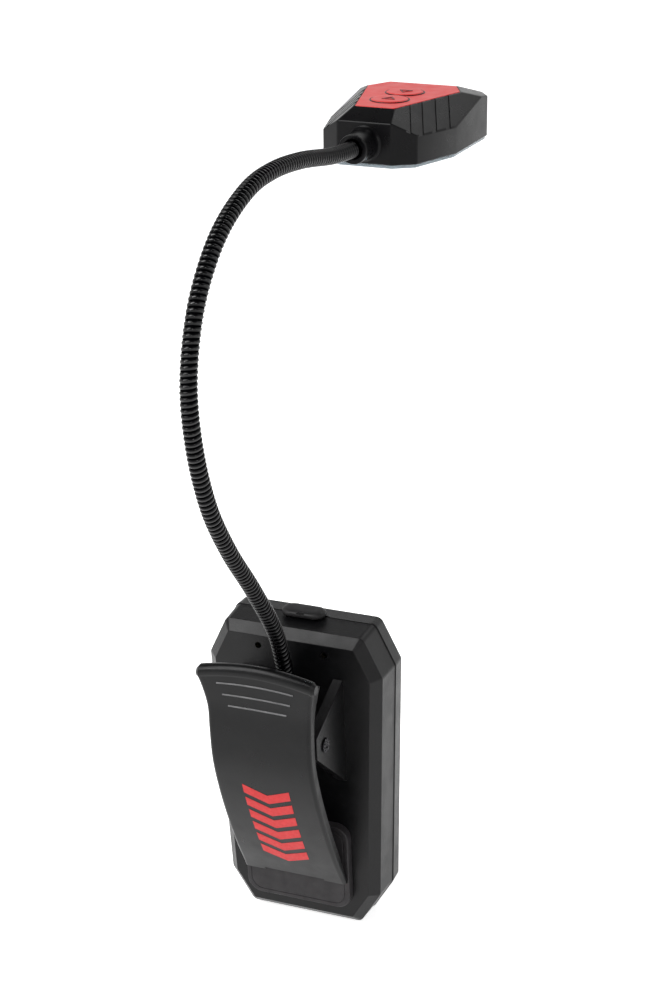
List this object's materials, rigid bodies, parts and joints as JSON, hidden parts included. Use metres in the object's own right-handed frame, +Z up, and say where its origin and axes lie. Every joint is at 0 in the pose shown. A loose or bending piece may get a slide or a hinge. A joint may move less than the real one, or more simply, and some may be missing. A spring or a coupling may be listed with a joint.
{
  "type": "clip-on reading lamp",
  "caption": "Clip-on reading lamp: faceted rechargeable battery housing with a sprung clip lever, a ribbed gooseneck and a wedge-shaped LED head with a red button panel.",
  "frame": {"origin": "centre of the jaw pad's clamping face, on the clip side of the housing", "axes": "+Z up along the housing, -Y out of the clamping face towards the clip lever, X along the lever hinge"},
  "size_m": [0.0578, 0.1837, 0.2443],
  "materials": {
    "black_shell": "fine spark-textured black ABS",
    "lever_plastic": "fine-textured dark grey-black ABS",
    "rubber": "matte black rubber",
    "neck_steel": "glossy black coated steel coil",
    "steel": "plain steel",
    "dark_steel": "black oxide steel",
    "red_plastic": "satin red ABS",
    "lens_clear": "clear moulded acrylic",
    "board_green": "green soldermask",
    "board_white": "white soldermask",
    "cell_wrap": "silver pouch foil",
    "led_yellow": "phosphor yellow",
    "white_plastic": "white moulded plastic"
  },
  "bodies": {
    "base": {"rear_housing": "black_shell", "front_cover": "black_shell", "jaw_pad": "rubber", "usb_receptacle": "steel", "control_board": "board_green", "battery": "cell_wrap", "pivot_pin": "dark_steel", "pivot_nut": "dark_steel", "neck_base_ferrule": "steel", "clip_spring": "steel", "housing_screw_1": "dark_steel", "housing_screw_2": "dark_steel", "housing_screw_3": "dark_steel", "housing_screw_4": "dark_steel", "indicator_led_1": "led_yellow", "indicator_led_2": "led_yellow"},
    "lever": {"clip_lever": "lever_plastic", "lever_pad": "rubber"},
    "port_flap": {"port_cover": "rubber"},
    "neck_01": {"neck_segment_01": "neck_steel"},
    "neck_02": {"neck_segment_02": "neck_steel"},
    "neck_03": {"neck_segment_03": "neck_steel"},
    "neck_04": {"neck_segment_04": "neck_steel"},
    "neck_05": {"neck_segment_05": "neck_steel"},
    "neck_06": {"neck_segment_06": "neck_steel"},
    "neck_07": {"neck_segment_07": "neck_steel"},
    "neck_08": {"neck_segment_08": "neck_steel"},
    "neck_09": {"neck_segment_09": "neck_steel"},
    "neck_10": {"neck_segment_10": "neck_steel"},
    "neck_11": {"neck_segment_11": "neck_steel"},
    "neck_12": {"neck_segment_12": "neck_steel"},
    "head": {"head_shell": "black_shell", "button_panel": "red_plastic", "head_collar": "black_shell", "lens": "lens_clear", "led_board": "board_white", "button_switch_1": "white_plastic", "button_switch_2": "white_plastic", "head_screw_1": "dark_steel", "head_screw_2": "dark_steel", "lamp_led_1": "led_yellow", "lamp_led_2": "led_yellow", "lamp_led_3": "led_yellow", "lamp_led_4": "led_yellow", "lamp_led_5": "led_yellow", "lamp_led_6": "led_yellow"},
    "button_1": {"button_1": "red_plastic"},
    "button_2": {"button_2": "red_plastic"}
  },
  "joints": [
    {"name": "clip_squeeze", "type": "hinge", "parent": "base", "child": "lever", "pos_m": [0, -0.012, 0.0508], "axis": [-1, 0, 0], "range_deg": [0, 19.5], "stiffness_Nm_per_rad": 0.3, "springref_deg": -74.48, "deforming": ["clip_spring"]},
    {"name": "port_cover_open", "type": "hinge", "parent": "base", "child": "port_flap", "pos_m": [-0.007, 0.014, 0.07885], "axis": [0, -1, 0], "range_deg": [0, 90]},
    {"name": "neck_joint_00", "type": "hinge", "parent": "base", "child": "neck_01", "pos_m": [0, 0.0001, 0.0619], "axis": [1, 0, 0], "range_deg": [-4.8, 4.8]},
    {"name": "neck_joint_01", "type": "hinge", "parent": "neck_01", "child": "neck_02", "pos_m": [0, -0.00705, 0.08281], "axis": [0, -0.8908, -0.4544], "range_deg": [-14, 14]},
    {"name": "neck_joint_02", "type": "hinge", "parent": "neck_02", "child": "neck_03", "pos_m": [0, -0.01919, 0.10128], "axis": [1, 0, 0], "range_deg": [-12, 12]},
    {"name": "neck_lower_swing", "type": "hinge", "parent": "neck_03", "child": "neck_04", "pos_m": [0, -0.0325, 0.11895], "axis": [0, -0.8119, -0.5838], "range_deg": [-14, 14]},
    {"name": "neck_lower_bend", "type": "hinge", "parent": "neck_04", "child": "neck_05", "pos_m": [0, -0.044, 0.13782], "axis": [1, 0, 0], "range_deg": [-12, 12]},
    {"name": "neck_joint_05", "type": "hinge", "parent": "neck_05", "child": "neck_06", "pos_m": [0, -0.05068, 0.15885], "axis": [0, -0.9835, -0.1809], "range_deg": [-14, 14]},
    {"name": "neck_joint_06", "type": "hinge", "parent": "neck_06", "child": "neck_07", "pos_m": [0, -0.05106, 0.18082], "axis": [1, 0, 0], "range_deg": [-12, 12]},
    {"name": "neck_joint_07", "type": "hinge", "parent": "neck_07", "child": "neck_08", "pos_m": [0, -0.04159, 0.20058], "axis": [0, -0.761, 0.6487], "range_deg": [-15, 15]},
    {"name": "neck_joint_08", "type": "hinge", "parent": "neck_08", "child": "neck_09", "pos_m": [0, -0.02411, 0.21382], "axis": [1, 0, 0], "range_deg": [-14, 14]},
    {"name": "neck_upper_swing", "type": "hinge", "parent": "neck_09", "child": "neck_10", "pos_m": [0, -0.00269, 0.21889], "axis": [0, -0.0358, 0.9994], "range_deg": [-15, 15]},
    {"name": "neck_upper_bend", "type": "hinge", "parent": "neck_10", "child": "neck_11", "pos_m": [0, 0.01934, 0.21726], "axis": [1, 0, 0], "range_deg": [-14, 14]},
    {"name": "neck_joint_11", "type": "hinge", "parent": "neck_11", "child": "neck_12", "pos_m": [0, 0.04099, 0.21275], "axis": [0, 0.2313, 0.9729], "range_deg": [-15, 15]},
    {"name": "neck_joint_12", "type": "hinge", "parent": "neck_12", "child": "head", "pos_m": [0, 0.06276, 0.20892], "axis": [1, 0, 0], "range_deg": [-14, 14]},
    {"name": "button_1_press", "type": "slide", "parent": "head", "child": "button_1", "axis": [0, -0.0792, -0.9969], "range_m": [0, 0.0005], "stiffness_N_per_m": 600, "springref_m": -0.0005},
    {"name": "button_2_press", "type": "slide", "parent": "head", "child": "button_2", "axis": [0, -0.0792, -0.9969], "range_m": [0, 0.0005], "stiffness_N_per_m": 600, "springref_m": -0.0005}
  ],
  "couplings": [
    {"joint": "neck_joint_00", "follows": "neck_lower_bend", "ratio": 0.4},
    {"joint": "neck_joint_01", "follows": "neck_lower_swing", "ratio": 1},
    {"joint": "neck_joint_02", "follows": "neck_lower_bend", "ratio": 1},
    {"joint": "neck_joint_05", "follows": "neck_lower_swing", "ratio": 1},
    {"joint": "neck_joint_06", "follows": "neck_lower_bend", "ratio": 1},
    {"joint": "neck_joint_07", "follows": "neck_upper_swing", "ratio": 1},
    {"joint": "neck_joint_08", "follows": "neck_upper_bend", "ratio": 1},
    {"joint": "neck_joint_11", "follows": "neck_upper_swing", "ratio": 1},
    {"joint": "neck_joint_12", "follows": "neck_upper_bend", "ratio": 1}
  ]
}
